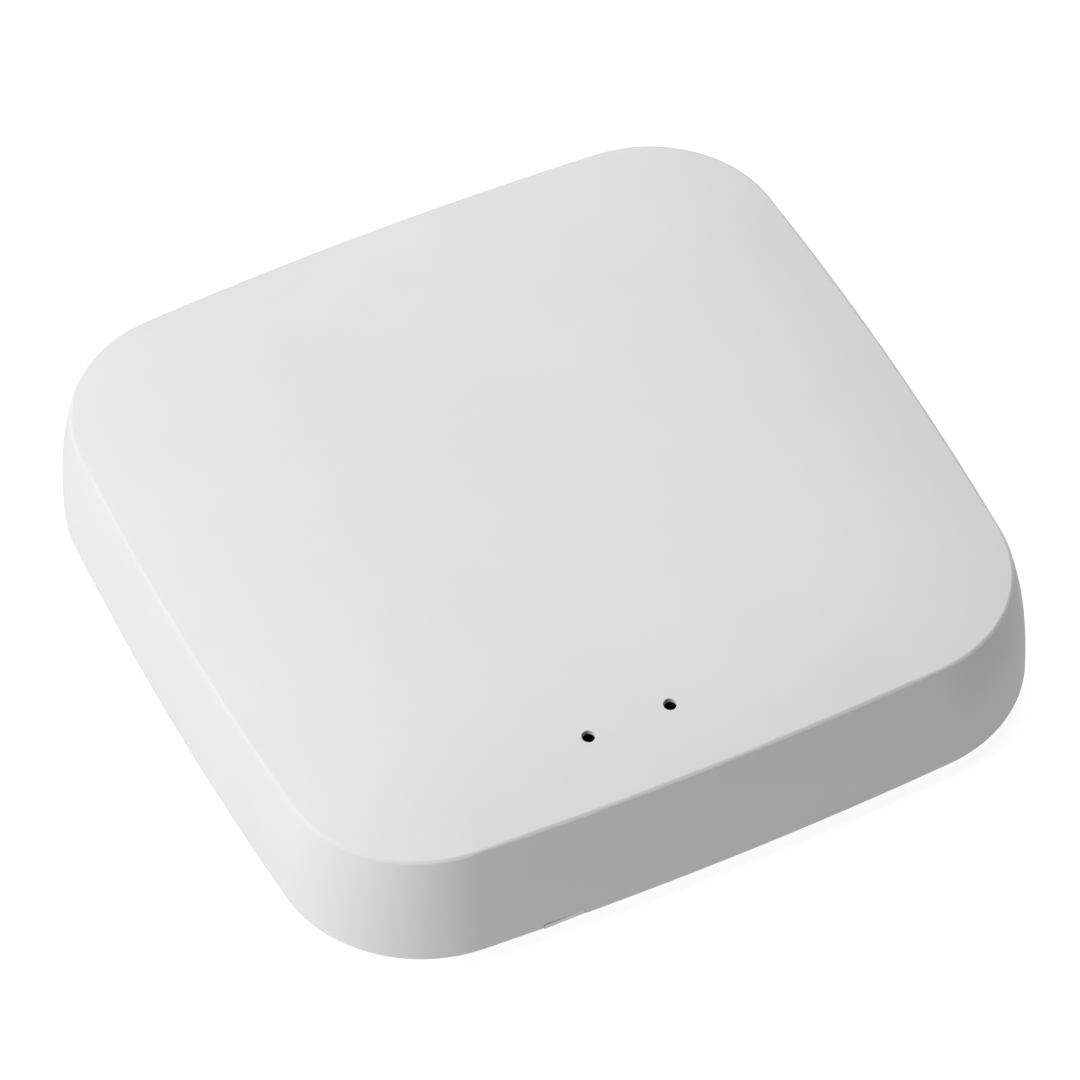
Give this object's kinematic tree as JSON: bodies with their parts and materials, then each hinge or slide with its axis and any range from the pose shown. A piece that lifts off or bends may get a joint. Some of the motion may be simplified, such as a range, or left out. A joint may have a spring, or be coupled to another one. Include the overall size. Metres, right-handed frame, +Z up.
{
  "type": "smart home hub",
  "caption": "Palm-sized square smart home hub: a white domed case with bowed sides and two indicator pinholes, with a USB power socket and a reset key at the back.",
  "frame": {"origin": "on the surface that the hub stands on, under the middle of the case", "axes": "+Z up; -Y towards the front edge, where the indicator pinholes are; +Y towards the back, with the USB socket and the reset key; +X to the right seen from the front"},
  "size_m": [0.06, 0.06, 0.0132],
  "materials": {
    "case_white": "fine moulded texture",
    "base_white": "fine moulded texture",
    "foot_rubber": "matt",
    "label_film": "satin film, blank",
    "board_green": "solder mask",
    "module_board": "dark solder mask",
    "screw_steel": "zinc plated",
    "can_metal": "tinned",
    "socket_metal": "nickel plated",
    "gold": "gold plated",
    "chip_black": "moulded epoxy",
    "insulator_black": "moulded",
    "key_white": "fine moulded texture",
    "baffle_black": "silicone",
    "led_lens": "clear resin",
    "ferrite": "sintered",
    "tantalum": "moulded epoxy",
    "crystal_lid": "plated lid",
    "solder_tin": "tinned",
    "capacitor_tan": "ceramic",
    "fuse_green": "coated",
    "dome_steel": "spring steel"
  },
  "bodies": {
    "hub": {"top_shell": "case_white", "base_plate": "base_white", "foot_front_left": "foot_rubber", "foot_front_right": "foot_rubber", "foot_back_left": "foot_rubber", "foot_back_right": "foot_rubber", "rating_label": "label_film", "main_board": "board_green", "board_screws": "screw_steel", "network_module_board": "module_board", "network_shield_can": "can_metal", "network_radio_chip": "chip_black", "network_antenna_trace": "gold", "mesh_module_board": "module_board", "mesh_shield_can": "can_metal", "mesh_radio_chip": "chip_black", "mesh_antenna_trace": "gold", "usb_socket_shell": "socket_metal", "usb_socket_tongue": "insulator_black", "usb_socket_contacts": "gold", "reset_switch_base": "insulator_black", "reset_switch_cover": "can_metal", "reset_switch_dome": "dome_steel", "reset_switch_terminals": "solder_tin", "power_led": "led_lens", "network_led": "led_lens", "light_baffle": "baffle_black", "memory_chip": "chip_black", "chip_leads": "solder_tin", "voltage_regulator": "chip_black", "power_inductor": "ferrite", "tantalum_capacitors": "tantalum", "crystal_oscillator": "crystal_lid", "resettable_fuse": "fuse_green", "chip_resistors": "chip_black", "chip_capacitors": "capacitor_tan", "passive_terminals": "solder_tin"},
    "reset_button": {"reset_key": "key_white", "reset_switch_stem": "insulator_black"}
  },
  "joints": [
    {"name": "reset_press", "type": "slide", "parent": "hub", "child": "reset_button", "axis": [0, -1, 0], "range_m": [0, 0.0003], "stiffness_N_per_m": 3000, "deforming": ["reset_switch_dome"]}
  ]
}
